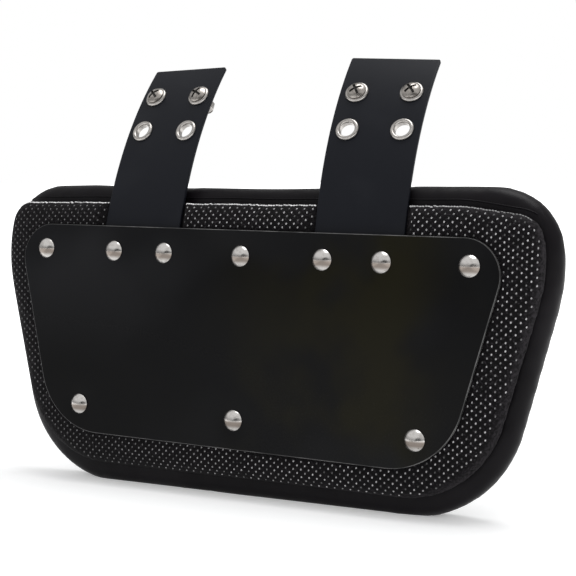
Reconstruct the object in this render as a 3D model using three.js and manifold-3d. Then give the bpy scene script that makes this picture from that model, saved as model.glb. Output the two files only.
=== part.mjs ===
// Football back plate: a hard plate riveted over a padded mesh panel, with two hanging straps that are bolted on
// above it. It stands on the soft rim of its padding, leaning back a little, as it does by itself on a table.
//
// Pieces are made in the face frame: x to the right, y up the plate, z towards the front, with its origin on the
// plate's front at the middle rivet of the top row. The last group leans them back and stands them on the ground.

import * as THREE from 'three';
import { mergeVertices } from 'three/addons/utils/BufferGeometryUtils.js';
import Module from 'manifold-3d';

const wasm = await Module();
wasm.setup();

// Driving dimensions in millimetres and degrees
const LEAN = 4.5;
const GAP = 0.3;
const FLATTENED = 1.8;

// The plate was riveted on a little askew: the padding's two layers are turned by this much behind it
const SKEW = { mesh: 0.7, rim: 1 };

// Rounded trapezoids: the half widths are those of the sharp corners, which the radii then round off.
// An upper corner is a tight arc that eases into a wider shoulder at the shoulder's angle above the level.
const PLATE_OUTLINE = {
  top: 13.8, bottom: -102, topHalf: 148.2, bottomHalf: 118.6,
  topRadius: 19, shoulderRadius: 19, shoulderAngle: 30, bottomRadius: 40,
};
const MESH_OUTLINE = {
  top: 28.5, bottom: -120.3, topHalf: 170.9, bottomHalf: 131.6,
  topRadius: 21, shoulderRadius: 83, shoulderAngle: 12, bottomRadius: 54,
};
const RIM_OUTLINE = {
  top: 37.6, bottom: -129.7, topHalf: 180.5, bottomHalf: 137.1,
  topRadius: 36, shoulderRadius: 90, shoulderAngle: 5, bottomRadius: 62,
};
const PLATE = { thickness: 2.2, edge: 0.5 };
const MESH = { thickness: 10.9, roll: 9, offset: 1 };
const RIM = { thickness: 16, edgeDepth: 7.7, edgeWidth: 8 };

const STRAP = {
  width: 49.4,
  thickness: 2,
  low: -14,
  topSlope: 0.8,
  centre: 66.1,
  converge: 1.4,
  bendRadius: 190,
  bendEnd: 40,
  axisTilt: 8,
  cornerRadius: 2,
};

const RIVET = { headRadius: 5.15, headHeight: 2.8, rim: 0.5, shankRadius: 2.3, length: 9 };
const RIVET_ROWS = [
  { row: 'top', y: 0, columns: [-127, -80.6, -47.9, 0, 47.9, 80.6, 127] },
  { row: 'low', y: -86.5, columns: [-99.8, 0, 103] },
];

const EYELET = { bore: 4.1, barrel: 4.6, front: 6.4, back: 5.9, roll: 1.4, backRoll: 0.9, spread: 15 };
const EYELET_ROWS = [
  { row: 'open', y: 68.2, screwed: false },
  { row: 'bolted', y: 88.8, screwed: true },
];
const SCREW = { headRadius: 4.6, headHeight: 2.6, rim: 0.5, shankRadius: 2.4, length: 15 };
const CROSS = { length: 5.2, width: 1.1, depth: 1.6 };
const NUT = { acrossFlats: 8, height: 4, fromStrap: 5 };

const SIDES = [
  { name: 'left', sign: -1, strapTop: 106.2 },
  { name: 'right', sign: 1, strapTop: 108.2 },
];

// Facets on each curve
const OUTLINE_SEGMENTS = 4;
const ROUND_SEGMENTS = 14;
const BEND_SEGMENTS = 5;
const ROLL_SEGMENTS = 4;
const DOME_SEGMENTS = 4;
const CORNER_SEGMENTS = 3;

// Depths behind the plate's front face, from front to back
const plateBack = -PLATE.thickness;
const meshFront = plateBack - GAP;
const meshBack = meshFront - MESH.thickness;
const rimFront = meshBack - GAP;
const rimBack = rimFront - RIM.thickness;
const strapFront = plateBack - GAP;

const radians = THREE.MathUtils.degToRad;

const FINISHES = {
  plate: { color: 0x161718, roughness: 0.18, metalness: 0 },
  strap: { color: 0x24272c, roughness: 0.5, metalness: 0 },
  mesh: { color: 0x17171a, roughness: 0.95, metalness: 0 },
  rim: { color: 0x131417, roughness: 0.7, metalness: 0 },
  nickel: { color: 0xc9c6c1, roughness: 0.15, metalness: 1 },
};

const materials = Object.fromEntries(
  Object.entries(FINISHES).map(([name, finish]) => [name, new THREE.MeshStandardMaterial(finish)]),
);

function toSolid(geometry) {
  const bare = geometry.clone();
  bare.deleteAttribute('normal');
  bare.deleteAttribute('uv');
  const welded = mergeVertices(bare);
  return new wasm.Manifold(new wasm.Mesh({
    numProp: 3,
    vertProperties: welded.attributes.position.array,
    triVerts: new Uint32Array(welded.index.array),
  }));
}

function toGeometry(solid) {
  const mesh = solid.getMesh();
  const geometry = new THREE.BufferGeometry();
  geometry.setAttribute('position', new THREE.BufferAttribute(mesh.vertProperties, 3));
  geometry.setIndex(new THREE.BufferAttribute(mesh.triVerts, 1));
  return geometry;
}

function cut(geometry, cutters) {
  return toGeometry(cutters.reduce((left, cutter) => left.subtract(toSolid(cutter)), toSolid(geometry)));
}

function keepWithin(geometry, limit) {
  return toGeometry(toSolid(geometry).intersect(toSolid(limit)));
}

function piece(name, geometry, finish) {
  const mesh = new THREE.Mesh(geometry, materials[finish]);
  mesh.name = name;
  return mesh;
}

// A turned piece or a plain pin, with its axis along z
function turned(profile) {
  const points = profile.map(([radius, height]) => new THREE.Vector2(radius, height));
  return new THREE.LatheGeometry(points, ROUND_SEGMENTS).rotateX(Math.PI / 2);
}

function pin(radius, low, high) {
  const cylinder = new THREE.CylinderGeometry(radius, radius, high - low, ROUND_SEGMENTS);
  return cylinder.rotateX(Math.PI / 2).translate(0, 0, (high + low) / 2);
}

// A domed head on a shank: the dome is an arc from the axis down to its rim
function domedPin({ headRadius, headHeight, rim, shankRadius }, tip) {
  const crown = headHeight - rim;
  const domeRadius = (headRadius ** 2 + crown ** 2) / (2 * crown);
  const halfAngle = Math.asin(headRadius / domeRadius);
  const dome = Array.from({ length: DOME_SEGMENTS + 1 }, (_, step) => {
    const angle = halfAngle * (1 - step / DOME_SEGMENTS);
    return [domeRadius * Math.sin(angle), headHeight - domeRadius * (1 - Math.cos(angle))];
  });
  dome[DOME_SEGMENTS][0] = 0;
  return turned([[0, tip], [shankRadius, tip], [shankRadius, 0], [headRadius, 0], ...dome]);
}

// The arcs of one side's corners, each as a centre, a radius and the angles where it starts and ends
function cornerArcs({ top, bottom, topHalf, bottomHalf, topRadius, shoulderRadius, shoulderAngle, bottomRadius }) {
  const slant = Math.atan((topHalf - bottomHalf) / (top - bottom));
  const ease = radians(shoulderAngle);
  const centreBeside = (y, radius) => topHalf - (top - y) * Math.tan(slant) - radius / Math.cos(slant);
  const widening = shoulderRadius - topRadius;
  const bottomY = bottom + bottomRadius;
  const topY = top - topRadius;
  const shoulderY = topY - widening * Math.sin(ease);
  const shoulderX = centreBeside(shoulderY, shoulderRadius);
  const topX = shoulderX + widening * Math.cos(ease);
  return [
    { x: centreBeside(bottomY, bottomRadius), y: bottomY, radius: bottomRadius, from: -Math.PI / 2, to: -slant },
    { x: shoulderX, y: shoulderY, radius: shoulderRadius, from: -slant, to: ease },
    { x: topX, y: topY, radius: topRadius, from: ease, to: Math.PI / 2 },
  ];
}

function roundedTrapezoid(outline) {
  const arcs = cornerArcs(outline);
  const shape = new THREE.Shape();
  arcs.forEach(({ x, y, radius, from, to }) => shape.absarc(x, y, radius, from, to));
  arcs.reverse().forEach(({ x, y, radius, from, to }) => shape.absarc(-x, y, radius, Math.PI - to, Math.PI - from));
  return shape;
}

// A slab between two depths, with both of its edges rounded off inside its outline
function roundedSlab(shape, back, front, edgeDepth, edgeWidth, edgeSegments) {
  const slab = new THREE.ExtrudeGeometry(shape, {
    depth: front - back - 2 * edgeDepth,
    curveSegments: OUTLINE_SEGMENTS,
    bevelEnabled: true,
    bevelThickness: edgeDepth,
    bevelSize: edgeWidth,
    bevelOffset: -edgeWidth,
    bevelSegments: edgeSegments,
  });
  return slab.translate(0, 0, back + edgeDepth);
}

function block(size, centre) {
  return new THREE.BoxGeometry(...size).translate(...centre);
}

// Strap: bent about an axis that dips towards its outer side, so that it twists a little as it curves back
function strapCentre(y) {
  return STRAP.centre - y * Math.tan(radians(STRAP.converge));
}

function bendTilt(sign) {
  return -sign * radians(STRAP.axisTilt);
}

// How far a point lies up the strap, across the axis of its bend, from where the bend starts
function alongBend(sign, x, y) {
  const tilt = bendTilt(sign);
  const start = -sign * STRAP.centre * Math.sin(tilt) + STRAP.low * Math.cos(tilt);
  return { start, along: -x * Math.sin(tilt) + y * Math.cos(tilt) - start };
}

// The frame of a point on the strap's front: z stands out of the strap
function strapFrame(sign, x, y) {
  const angle = Math.asin(alongBend(sign, x, y).along / STRAP.bendRadius);
  const frame = new THREE.Group();
  frame.position.set(x, y, strapFront - STRAP.bendRadius * (1 - Math.cos(angle)));
  frame.rotation.set(-angle, 0, bendTilt(sign), 'ZXY');
  frame.updateMatrix();
  return frame;
}

// The bent band from its back arc to its front arc, or to a flat front where the padding makes room for it
function bentBand(sign, backClearance, flatFront) {
  const { start } = alongBend(sign, 0, 0);
  const axisDepth = strapFront - STRAP.bendRadius;
  const backRadius = STRAP.bendRadius - STRAP.thickness - backClearance;
  const square = Math.PI / 2;
  const end = square - radians(STRAP.bendEnd);
  const lead = 20;
  const length = 4 * STRAP.width;
  const profile = new THREE.Shape();
  profile.moveTo(start - lead, axisDepth + backRadius);
  profile.absarc(start, axisDepth, backRadius, square, end, true);
  if (flatFront === undefined) {
    profile.absarc(start, axisDepth, STRAP.bendRadius, end, square, false);
    profile.lineTo(start - lead, strapFront);
  } else {
    profile.lineTo(start + backRadius, flatFront);
    profile.lineTo(start - lead, flatFront);
  }
  const band = new THREE.ExtrudeGeometry(profile, {
    depth: length, bevelEnabled: false, curveSegments: BEND_SEGMENTS,
  });
  const upAndOut = new THREE.Matrix4().makeBasis(
    new THREE.Vector3(0, 1, 0), new THREE.Vector3(0, 0, 1), new THREE.Vector3(1, 0, 0),
  );
  band.translate(0, 0, -length / 2).applyMatrix4(upAndOut);
  return band.translate(sign * STRAP.centre, 0, 0).rotateZ(bendTilt(sign));
}

// The strap as seen from the front, with two round corners at its top, and room around it for a recess
function strapOutline({ sign, strapTop }, clearance) {
  const half = STRAP.width / 2 + clearance;
  const radius = STRAP.cornerRadius;
  const low = STRAP.low - clearance;
  const reach = 200;
  const topAt = (across) => strapTop + clearance - across * Math.tan(radians(STRAP.topSlope));
  const corner = (across, y) => [sign * (strapCentre(y) + across), y];
  const shape = new THREE.Shape();
  shape.moveTo(...corner(-half, low));
  shape.lineTo(...corner(half, low));
  shape.lineTo(...corner(half, topAt(half) - radius));
  shape.quadraticCurveTo(...corner(half, topAt(half)), ...corner(half - radius, topAt(half - radius)));
  shape.lineTo(...corner(radius - half, topAt(radius - half)));
  shape.quadraticCurveTo(...corner(-half, topAt(-half)), ...corner(-half, topAt(-half) - radius));
  const outline = new THREE.ExtrudeGeometry(shape, {
    depth: reach, bevelEnabled: false, curveSegments: CORNER_SEGMENTS,
  });
  return outline.translate(0, 0, -reach / 2);
}

function strapRecess(side) {
  const ahead = 2 * GAP;
  return keepWithin(bentBand(side.sign, GAP, strapFront + ahead), strapOutline(side, GAP));
}

// Every rivet's place, and the clearance hole that it stands in
function rivetPlaces() {
  return RIVET_ROWS.flatMap(({ row, y, columns }) => columns.map((x, index) => ({
    name: `rivet_${row}_${index + 1}`, x, y,
  })));
}

function rivetHole({ x, y }) {
  return pin(RIVET.shankRadius + GAP, -RIVET.length - GAP, RIVET.headHeight).translate(x, y, 0);
}

// Every eyelet's place on a strap
function eyeletPlaces(sign) {
  return EYELET_ROWS.flatMap(({ row, y, screwed }) => ['outer', 'inner'].map((column) => {
    const spread = column === 'outer' ? EYELET.spread : -EYELET.spread;
    return { label: `${row}_${column}`, screwed, x: sign * (strapCentre(y) + spread), y };
  }));
}

function makePlate() {
  const slab = roundedSlab(roundedTrapezoid(PLATE_OUTLINE), plateBack, 0, PLATE.edge, PLATE.edge, 1);
  return piece('back_plate', cut(slab, rivetPlaces().map(rivetHole)), 'plate');
}

// The mesh layer rolls over at its front edge only, so the front half of a fully rolled slab is kept
function makeMeshPad() {
  const outline = roundedTrapezoid(MESH_OUTLINE);
  const mirrorBack = meshFront - 2 * MESH.thickness;
  const slab = roundedSlab(outline, mirrorBack, meshFront, MESH.roll, MESH.roll, ROLL_SEGMENTS);
  slab.rotateZ(radians(SKEW.mesh)).translate(MESH.offset, 0, 0);
  const span = 2 * RIM_OUTLINE.topHalf;
  const behind = block([span, span, MESH.thickness], [0, 0, meshBack - MESH.thickness / 2]);
  const recesses = SIDES.map(strapRecess);
  return piece('mesh_pad', cut(slab, [behind, ...recesses, ...rivetPlaces().map(rivetHole)]), 'mesh');
}

// The ground under the leaning rim, as a block that takes off what the rim's own weight flattens
function groundUnderRim() {
  const lean = radians(LEAN);
  const rimMiddle = (rimFront + rimBack) / 2;
  const span = 2 * RIM_OUTLINE.topHalf;
  const depth = 40;
  const ground = block([span, depth, span], [0, FLATTENED - RIM.edgeWidth - depth / 2, 0]);
  return ground.rotateX(lean).translate(0, RIM_OUTLINE.bottom + RIM.edgeWidth, rimMiddle);
}

function makeRimPad() {
  const outline = roundedTrapezoid(RIM_OUTLINE);
  const slab = roundedSlab(outline, rimBack, rimFront, RIM.edgeDepth, RIM.edgeWidth, ROLL_SEGMENTS);
  const rim = piece('rim_pad', cut(slab, [groundUnderRim()]), 'rim');
  rim.rotation.z = radians(SKEW.rim);
  return rim;
}

function makeStrap(side) {
  const { name, sign } = side;
  const band = keepWithin(bentBand(sign, 0), strapOutline(side, 0));
  const onStrap = rivetPlaces().filter(({ x, y }) => (
    y > STRAP.low && Math.abs(x - sign * STRAP.centre) < STRAP.width / 2
  ));
  const eyeletHoles = eyeletPlaces(sign).map(({ x, y }) => {
    const hole = pin(EYELET.barrel + GAP, -2 * STRAP.thickness, STRAP.thickness);
    return hole.applyMatrix4(strapFrame(sign, x, y).matrix);
  });
  return piece(`strap_${name}`, cut(band, [...onStrap.map(rivetHole), ...eyeletHoles]), 'strap');
}

// A rolled ring on the strap's front, its barrel through the strap and a flatter ring behind it
function eyeletGeometry() {
  const { bore, barrel, front, back, roll, backRoll } = EYELET;
  const frontSeat = GAP;
  const backSeat = -STRAP.thickness - GAP;
  const crest = (barrel + front) / 2;
  return turned([
    [bore, backSeat],
    [barrel, backSeat - backRoll],
    [back, backSeat],
    [barrel, backSeat],
    [barrel, frontSeat],
    [front, frontSeat],
    [crest, frontSeat + roll],
    [bore, frontSeat],
    [bore, backSeat],
  ]);
}

function screwGeometry() {
  const body = domedPin(SCREW, -SCREW.length);
  const crossDepth = SCREW.headHeight - CROSS.depth / 2;
  const slots = [
    block([CROSS.length, CROSS.width, CROSS.depth], [0, 0, crossDepth]),
    block([CROSS.width, CROSS.length, CROSS.depth], [0, 0, crossDepth]),
  ];
  return cut(body, slots);
}

function nutGeometry() {
  const corner = NUT.acrossFlats / Math.sqrt(3);
  const hexagon = Array.from({ length: 6 }, (_, index) => {
    const angle = index * Math.PI / 3;
    return new THREE.Vector2(corner * Math.cos(angle), corner * Math.sin(angle));
  });
  const shape = new THREE.Shape(hexagon);
  shape.holes.push(new THREE.Path().absarc(0, 0, SCREW.shankRadius + GAP, 0, 2 * Math.PI, true));
  return new THREE.ExtrudeGeometry(shape, {
    depth: NUT.height, bevelEnabled: false, curveSegments: ROUND_SEGMENTS / 2,
  });
}

function makeRivets() {
  return rivetPlaces().map(({ name, x, y }) => {
    const rivet = piece(name, domedPin(RIVET, -RIVET.length - GAP), 'nickel');
    rivet.position.set(x, y, GAP);
    return rivet;
  });
}

// The eyelets of one strap, with a screw and its nut in each upper one
function makeStrapHardware({ name, sign }) {
  return eyeletPlaces(sign).map(({ label, screwed, x, y }) => {
    const frame = strapFrame(sign, x, y);
    frame.add(piece(`eyelet_${name}_${label}`, eyeletGeometry(), 'nickel'));
    if (screwed) {
      const screw = piece(`screw_${name}_${label}`, screwGeometry(), 'nickel');
      screw.position.z = 2 * GAP + EYELET.roll;
      const nut = piece(`nut_${name}_${label}`, nutGeometry(), 'nickel');
      nut.position.z = -STRAP.thickness - NUT.fromStrap - NUT.height;
      frame.add(screw, nut);
    }
    return frame;
  });
}

function makeFace() {
  const face = new THREE.Group();
  face.add(makeRimPad(), makeMeshPad(), makePlate(), ...makeRivets());
  SIDES.forEach((side) => face.add(makeStrap(side), ...makeStrapHardware(side)));
  face.rotation.set(Math.PI / 2 - radians(LEAN), 0, -radians(SKEW.rim));
  return face;
}

// The whole part stands on z = 0 with its box centred over the origin
function standUp(face) {
  const part = new THREE.Group();
  part.add(face);
  part.updateMatrixWorld(true);
  const box = new THREE.Box3().setFromObject(part, true);
  const middle = box.getCenter(new THREE.Vector3());
  face.position.set(-middle.x, -middle.y, -box.min.z);
  return part;
}

export default standUp(makeFace());
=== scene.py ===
"""Looks of a football back plate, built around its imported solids.

Sizes are millimetres and degrees in the face frame: x to the right, y up the plate and z to the front, with
its origin on the plate's front at the middle rivet of the top row. FaceFrame takes them to the part's own
frame.
"""

import logging
import math
from collections.abc import Callable, Iterable, Sequence
from dataclasses import dataclass, field, replace
from enum import Enum
from itertools import islice

import bmesh
import bpy
from mathutils import Euler, Matrix, Vector, noise
from mathutils.bvhtree import BVHTree


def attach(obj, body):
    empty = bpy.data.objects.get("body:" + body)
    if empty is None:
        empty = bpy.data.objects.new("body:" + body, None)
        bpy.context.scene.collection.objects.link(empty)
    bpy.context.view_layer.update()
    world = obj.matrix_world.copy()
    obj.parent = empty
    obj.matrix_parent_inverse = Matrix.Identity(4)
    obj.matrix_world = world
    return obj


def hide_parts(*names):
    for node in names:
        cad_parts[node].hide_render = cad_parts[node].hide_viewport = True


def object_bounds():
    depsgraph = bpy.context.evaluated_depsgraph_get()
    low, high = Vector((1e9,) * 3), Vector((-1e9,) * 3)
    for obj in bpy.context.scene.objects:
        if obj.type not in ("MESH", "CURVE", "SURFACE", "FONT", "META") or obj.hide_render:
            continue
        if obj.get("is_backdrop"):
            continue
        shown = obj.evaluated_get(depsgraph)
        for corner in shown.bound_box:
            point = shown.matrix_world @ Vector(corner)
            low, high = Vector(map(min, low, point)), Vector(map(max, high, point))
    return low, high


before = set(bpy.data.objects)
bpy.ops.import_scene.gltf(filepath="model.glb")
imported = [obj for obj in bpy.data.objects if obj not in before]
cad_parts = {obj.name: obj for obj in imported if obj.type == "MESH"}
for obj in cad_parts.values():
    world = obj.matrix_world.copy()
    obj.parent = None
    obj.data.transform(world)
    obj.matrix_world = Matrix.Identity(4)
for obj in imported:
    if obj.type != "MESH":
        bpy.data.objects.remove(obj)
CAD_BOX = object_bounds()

LOG = logging.getLogger("back_plate")
MM = 0.001
BODY = "root"
WELD = 1e-4
LEVEL = 0.999
CREASE = math.radians(40.0)


class Slot(Enum):
    """The pieces' material slots."""

    PLATE = "plate"
    STRAP = "strap"
    MESH = "mesh"
    RIM = "rim"
    NICKEL = "nickel"


class Side(Enum):
    """The two sides of the plate, as seen from its front."""

    LEFT = -1
    RIGHT = 1

    @property
    def label(self) -> str:
        """The side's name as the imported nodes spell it."""
        return self.name.lower()


@dataclass(frozen=True)
class FaceFrame:
    """How the plate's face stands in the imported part's frame."""

    lean: float = 4.5
    skew: float = 1.0
    crown: float = 3.1
    middle_rivet: str = "rivet_top_4"

    def turn(self) -> Matrix:
        """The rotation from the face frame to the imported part's frame."""
        upright = Matrix.Rotation(math.radians(90.0 - self.lean), 4, "X")
        return upright @ Matrix.Rotation(-math.radians(self.skew), 4, "Z")

    def origin(self) -> Vector:
        """Finds the face frame's origin under the crown of the middle rivet.

        Returns:
            The origin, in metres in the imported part's frame.
        """
        outwards = self.turn() @ Vector((0.0, 0.0, 1.0))
        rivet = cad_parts[self.middle_rivet].data.vertices
        top = max((vertex.co for vertex in rivet), key=outwards.dot)
        return top - outwards * self.crown * MM

    def matrix(self) -> Matrix:
        """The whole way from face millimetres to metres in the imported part's frame."""
        return Matrix.Translation(self.origin()) @ self.turn() @ Matrix.Scale(MM, 4)


FACE = FaceFrame()
FACE_MATRIX = FACE.matrix()
TO_FACE = FACE_MATRIX.inverted()


class Value:
    """A number that varies over a surface. Arithmetic on it adds Math nodes to its tree."""

    def __init__(self, bench: "Bench", socket: bpy.types.NodeSocket) -> None:
        """Wraps an output socket of the bench's tree."""
        self.bench = bench
        self.socket = socket

    def __add__(self, other: "Value | float") -> "Value":
        """Sum of the two."""
        return self.bench.math("ADD", self, other)

    __radd__ = __add__

    def __sub__(self, other: "Value | float") -> "Value":
        """This one less the other."""
        return self.bench.math("SUBTRACT", self, other)

    def __rsub__(self, other: float) -> "Value":
        """The other less this one."""
        return self.bench.math("SUBTRACT", other, self)

    def __mul__(self, other: "Value | float") -> "Value":
        """Product of the two."""
        return self.bench.math("MULTIPLY", self, other)

    __rmul__ = __mul__

    def __pow__(self, other: float) -> "Value":
        """This one to a power."""
        return self.bench.math("POWER", self, other)

    def cosine(self) -> "Value":
        """Cosine of an angle in radians."""
        return self.bench.math("COSINE", self)

    def exponential(self) -> "Value":
        """The number e to this power."""
        return self.bench.math("EXPONENT", self)

    def smooth(self, low: float, high: float) -> "Value":
        """A soft step.

        Args:
            low: where the step leaves 0.
            high: where it reaches 1.

        Returns:
            0 below low, 1 above high and a smooth rise between them.
        """
        eased = self.bench.node(
            "ShaderNodeMapRange",
            {"interpolation_type": "SMOOTHSTEP"},
            {"Value": self, "From Min": low, "From Max": high, "To Min": 0.0, "To Max": 1.0},
        )
        return Value(self.bench, eased.outputs["Result"])


Colour = tuple[float, float, float]
Span = tuple[float, float]
Socketed = Value | bpy.types.NodeSocket | float | Sequence[float]


class Bench:
    """A node tree and the ways of adding to it."""

    def __init__(self, tree: bpy.types.NodeTree) -> None:
        """Clears a tree to start from."""
        self.tree = tree
        tree.nodes.clear()

    def node(self, kind: str, settings: dict | None = None, inputs: dict | None = None) -> bpy.types.Node:
        """Adds one node.

        Args:
            kind: the node's type.
            settings: its own settings, which are set first.
            inputs: the value or link of each socket, by name or index.

        Returns:
            The new node.
        """
        made = self.tree.nodes.new(kind)
        for name, setting in (settings or {}).items():
            setattr(made, name, setting)
        for key, value in (inputs or {}).items():
            self.feed(made.inputs[key], value)
        return made

    def feed(self, socket: bpy.types.NodeSocket, value: Socketed) -> None:
        """Links or sets one input socket.

        Args:
            socket: the socket.
            value: what it is linked to, or set to.
        """
        source = value.socket if isinstance(value, Value) else value
        if isinstance(source, bpy.types.NodeSocket):
            self.tree.links.new(source, socket)
        elif socket.type == "RGBA":
            socket.default_value = (*source, 1.0)
        else:
            socket.default_value = source

    def math(self, operation: str, *operands: "Value | float") -> Value:
        """A Math node on one or two operands."""
        made = self.node("ShaderNodeMath", {"operation": operation}, dict(enumerate(operands)))
        return Value(self, made.outputs[0])

    def mix(self, factor: "Value | float", first: Socketed, second: Socketed) -> bpy.types.NodeSocket:
        """Blends two colours.

        Args:
            factor: 0 for the first colour and 1 for the second.
            first: a colour or a colour socket.
            second: a colour or a colour socket.

        Returns:
            The blended colour's socket.
        """
        factor_in, first_in, second_in, colour_out = 0, 6, 7, 2
        made = self.node(
            "ShaderNodeMix",
            {"data_type": "RGBA"},
            {factor_in: factor, first_in: first, second_in: second},
        )
        return made.outputs[colour_out]

    def face_point(self) -> bpy.types.NodeSocket:
        """The surface's place, from Object coordinates.

        Returns:
            The socket of a vector in face millimetres.
        """
        place = self.node("ShaderNodeTexCoord").outputs["Object"]
        made = self.node(
            "ShaderNodeMapping",
            {"vector_type": "TEXTURE"},
            {
                "Vector": place,
                "Location": FACE.origin(),
                "Rotation": FACE.turn().to_euler(),
                "Scale": (MM, MM, MM),
            },
        )
        return made.outputs["Vector"]

    def split(self, vector: bpy.types.NodeSocket) -> tuple[Value, Value, Value]:
        """The three numbers of a vector."""
        parts = self.node("ShaderNodeSeparateXYZ", None, {"Vector": vector})
        return tuple(Value(self, output) for output in parts.outputs)

    def noise(self, vector: bpy.types.NodeSocket, scale: float, detail: float = 2.0) -> Value:
        """Noise between 0 and 1.

        Args:
            vector: the place to read it at.
            scale: cells per unit of that place.
            detail: octaves of finer noise on top.

        Returns:
            The noise's value.
        """
        made = self.node("ShaderNodeTexNoise", None, {"Vector": vector, "Scale": scale, "Detail": detail})
        return Value(self, made.outputs[0])

    def bump(self, height: Value, distance: float) -> bpy.types.NodeSocket:
        """The normal of a surface raised by a height.

        Args:
            height: the relief, about 0 to 1.
            distance: what a height of 1 stands for, in millimetres.

        Returns:
            The normal's socket.
        """
        inputs = {"Height": height, "Distance": distance * MM, "Strength": 1.0}
        return self.node("ShaderNodeBump", None, inputs).outputs["Normal"]


def new_material(name: str) -> tuple[bpy.types.Material, Bench]:
    """Starts a node material.

    Args:
        name: its name.

    Returns:
        The empty material and the bench to build it on.
    """
    material = bpy.data.materials.new(name)
    material.use_nodes = True
    return material, Bench(material.node_tree)


def shade(bench: Bench, inputs: dict) -> None:
    """Ends a material in one Principled shader with the given inputs."""
    shader = bench.node("ShaderNodeBsdfPrincipled", None, inputs)
    bench.node("ShaderNodeOutputMaterial", None, {"Surface": shader.outputs[0]})


@dataclass(frozen=True)
class GlossPlastic:
    """Moulded gloss black of the plate: painted reflections, random darker tones, orange peel, and dents
    where rivets pull it in.
    """

    name: str = "gloss_black_plastic"
    # pale, deep and cool carry painted reflection: paler to the upper left, darker low down, evener to the
    # right
    pale: Colour = (0.0152, 0.0154, 0.0168)
    deep: Colour = (0.0008, 0.0008, 0.0011)
    cool: Colour = (0.0070, 0.0071, 0.0077)
    # olive colour of the painted reflection patches
    warm_reflection: Colour = (0.0104, 0.0094, 0.0046)
    reflection_patch_scale: float = 0.016
    shade_scale: float = 0.0085
    roughness: float = 0.16
    dulled: float = 0.18
    dent_radius: float = 7.5
    dent_depth: float = 0.3
    side_fade: Span = (-130.0, 60.0)
    height_fade: Span = (-70.0, 5.0)
    warm_rise: Span = (-40.0, 70.0)
    warm_fall: Span = (88.0, 122.0)

    def material(self, rivets: Sequence[Vector]) -> bpy.types.Material:
        """Builds the material.

        Args:
            rivets: where the rivets stand on the plate.

        Returns:
            The finished material.
        """
        material, bench = new_material(self.name)
        place = bench.face_point()
        across, up, _ = bench.split(place)
        # painted reflection: the base is paler towards the top and the left and darker towards the bottom
        aside = across.smooth(*self.side_fade)
        upper = bench.mix(aside, self.pale, self.cool)
        lower = bench.mix(aside, self.deep, self.cool)
        level = up.smooth(*self.height_fade)
        shades = bench.noise(place, self.shade_scale, 2.0).smooth(0.44, 0.56)
        plain = bench.mix(shades * 0.45, bench.mix(level, lower, upper), self.deep)
        dull = self.dulled * (1.0 - level) * (1.0 - 0.4 * aside)
        # painted reflection: olive patches across the right-hand middle
        stretch = across.smooth(*self.warm_rise) * (1.0 - 0.85 * across.smooth(*self.warm_fall))
        warm_reflection_patches = bench.noise(place, self.reflection_patch_scale, 3.0).smooth(0.4, 0.62) * stretch
        grain = bench.noise(place, 0.9, 3.0)
        spread = -1.0 / self.dent_radius**2
        dents = sum(
            (((across - rivet.x) ** 2.0 + (up - rivet.y) ** 2.0) * spread).exponential() for rivet in rivets
        )
        peel = bench.noise(place, 0.03, 0.0)
        shade(bench, {
            "Base Color": bench.mix(warm_reflection_patches, plain, self.warm_reflection),
            "Roughness": self.roughness + dull + 0.05 * (grain - 0.5),
            "Normal": bench.bump(peel * 0.1 - dents * self.dent_depth, 1.0),
            "Specular IOR Level": 0.09,
        })
        return material


@dataclass(frozen=True)
class TrimmedEdge:
    """The plate's eased edge, with a painted highlight: paler patches that grow towards the right and fade
    at the upper right corner.
    """

    name: str = "trimmed_plate_edge"
    base: Colour = (0.012, 0.012, 0.012)
    # colour of the painted highlight on the edge
    painted_highlight: Colour = (0.12, 0.118, 0.116)
    highlight_rise: Span = (-130.0, -50.0)
    corner_across: Span = (108.0, 128.0)
    corner_up: Span = (-30.0, -10.0)

    def material(self) -> bpy.types.Material:
        """Builds the material.

        Returns:
            The finished material.
        """
        material, bench = new_material(self.name)
        place = bench.face_point()
        across, up, _ = bench.split(place)
        # painted highlight along the edge: it grows towards the right and is fainter at the upper right
        # corner
        corner = across.smooth(*self.corner_across) * up.smooth(*self.corner_up)
        reach = across.smooth(*self.highlight_rise) * (1.0 - 0.65 * corner)
        highlight_patches = bench.noise(place, 0.06, 3.0).smooth(0.35, 0.7) * reach
        shade(bench, {
            "Base Color": bench.mix(highlight_patches, self.base, self.painted_highlight),
            "Roughness": 0.3 - 0.08 * highlight_patches,
        })
        return material


@dataclass(frozen=True)
class SatinPlastic:
    """Satin blue-black sheet of the straps, with a fine grain, lighter scuffs, and a painted highlight that
    makes the upper ends paler.
    """

    name: str = "satin_blue_black_plastic"
    base: Colour = (0.0056, 0.0065, 0.0098)
    # colour of the real scuffs, also spread over the upper ends as a painted highlight
    scuff_and_highlight: Colour = (0.0083, 0.0093, 0.0128)
    roughness: float = 0.42
    top_highlight_fade: Span = (75.0, 112.0)

    def material(self) -> bpy.types.Material:
        """Builds the material.

        Returns:
            The finished material.
        """
        material, bench = new_material(self.name)
        place = bench.face_point()
        _, up, _ = bench.split(place)
        scuffs = bench.noise(place, 0.035, 4.0).smooth(0.5, 0.75)
        # painted highlight: the upper ends take the paler colour as well as the scuffs
        scuffs_and_top_highlight = scuffs + (1.0 - scuffs) * up.smooth(*self.top_highlight_fade)
        grain = bench.noise(place, 3.2, 2.0)
        shade(bench, {
            "Base Color": bench.mix(scuffs_and_top_highlight, self.base, self.scuff_and_highlight),
            "Roughness": self.roughness + 0.1 * (grain - 0.5) - 0.05 * scuffs,
            "Normal": bench.bump(grain, 0.02),
            "Specular IOR Level": 0.13,
        })
        return material


@dataclass(frozen=True)
class DotLattice:
    """The staggered lattice on which the mesh's dots stand."""

    across: float = 4.45
    up: float = 3.95
    radius: float = 0.6
    narrow: float = 0.46
    height: float = 0.34
    lean: float = 0.3


LATTICE = DotLattice()


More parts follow.
